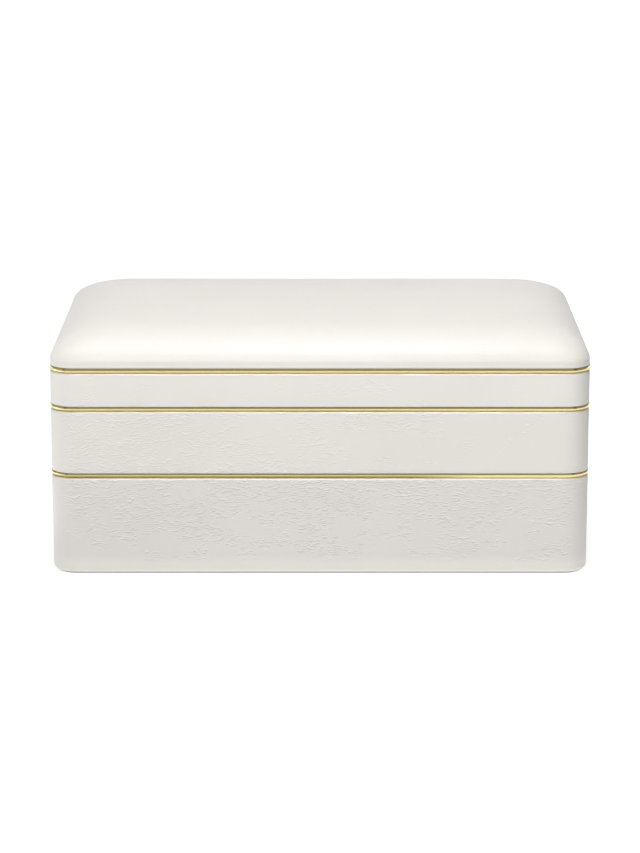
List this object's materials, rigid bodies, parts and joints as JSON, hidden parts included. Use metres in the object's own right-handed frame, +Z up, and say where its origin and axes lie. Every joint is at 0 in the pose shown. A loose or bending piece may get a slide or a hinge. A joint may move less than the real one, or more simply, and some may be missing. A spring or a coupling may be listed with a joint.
{
  "type": "stacking jewelry box",
  "caption": "Stacking jewelry box: cream leather-covered trays with gold trims nest on each other, with velvet compartments, ring rolls and a padded hinged lid over a mirror.",
  "frame": {"origin": "centre of the case in plan, on the surface that the box stands on", "axes": "+X to the right seen from the front, +Y to the rear where the hinges are, +Z up"},
  "size_m": [0.2812, 0.1859, 0.1296],
  "materials": {
    "leather": "cream faux leather, fine creased grain, satin",
    "lid_leather": "cream faux leather, smooth, stretched over foam, satin",
    "gold_trim": "polished pale gold plating",
    "velvet": "short-pile beige velvet",
    "felt": "pressed felt",
    "board": "raw fibreboard, hidden",
    "foam": "soft foam, hidden",
    "mirror": "silvered glass, bevelled edge",
    "hinge_brass": "brushed pale gold"
  },
  "bodies": {
    "bottom_tray": {"bottom_tray_base_board": "board", "bottom_tray_cross_divider": "velvet", "bottom_tray_felt": "felt", "bottom_tray_frame": "board", "bottom_tray_leather": "leather", "bottom_tray_lining": "velvet", "bottom_tray_side_divider": "velvet", "bottom_tray_trim": "gold_trim"},
    "middle_tray": {"middle_tray_back_divider_centre": "velvet", "middle_tray_back_divider_left": "velvet", "middle_tray_back_divider_right": "velvet", "middle_tray_base_board": "board", "middle_tray_frame": "board", "middle_tray_front_divider": "velvet", "middle_tray_leather": "leather", "middle_tray_lining": "velvet", "middle_tray_long_divider": "velvet", "middle_tray_plinth": "velvet", "middle_tray_trim": "gold_trim"},
    "top_tray": {"hinge_left_lower_leaf": "hinge_brass", "hinge_left_lower_screw_a": "hinge_brass", "hinge_left_lower_screw_b": "hinge_brass", "hinge_left_pin": "hinge_brass", "hinge_right_lower_leaf": "hinge_brass", "hinge_right_lower_screw_a": "hinge_brass", "hinge_right_lower_screw_b": "hinge_brass", "hinge_right_pin": "hinge_brass", "ring_roll_1": "velvet", "ring_roll_2": "velvet", "ring_roll_3": "velvet", "ring_roll_4": "velvet", "ring_roll_5": "velvet", "ring_roll_6": "velvet", "ring_roll_7": "velvet", "ring_roll_8": "velvet", "top_tray_back_divider_left": "velvet", "top_tray_back_divider_right": "velvet", "top_tray_base_board": "board", "top_tray_frame": "board", "top_tray_front_divider": "velvet", "top_tray_leather": "leather", "top_tray_lining": "velvet", "top_tray_long_divider": "velvet", "top_tray_plinth": "velvet", "top_tray_ring_divider": "velvet", "top_tray_trim": "gold_trim"},
    "lid": {"hinge_left_upper_leaf": "hinge_brass", "hinge_left_upper_screw_a": "hinge_brass", "hinge_left_upper_screw_b": "hinge_brass", "hinge_right_upper_leaf": "hinge_brass", "hinge_right_upper_screw_a": "hinge_brass", "hinge_right_upper_screw_b": "hinge_brass", "lid_board": "board", "lid_foam": "foam", "lid_frame": "board", "lid_leather": "lid_leather", "lid_lining": "velvet", "lid_mirror": "mirror"}
  },
  "joints": [
    {"name": "middle_tray_lift", "type": "slide", "parent": "bottom_tray", "child": "middle_tray", "axis": [0, 0, 1], "range_m": [0, 0.1]},
    {"name": "top_tray_lift", "type": "slide", "parent": "middle_tray", "child": "top_tray", "axis": [0, 0, 1], "range_m": [0, 0.08]},
    {"name": "lid_hinge", "type": "hinge", "parent": "top_tray", "child": "lid", "pos_m": [0, 0.0928, 0.10975], "axis": [-1, 0, 0], "range_deg": [0, 100]}
  ]
}
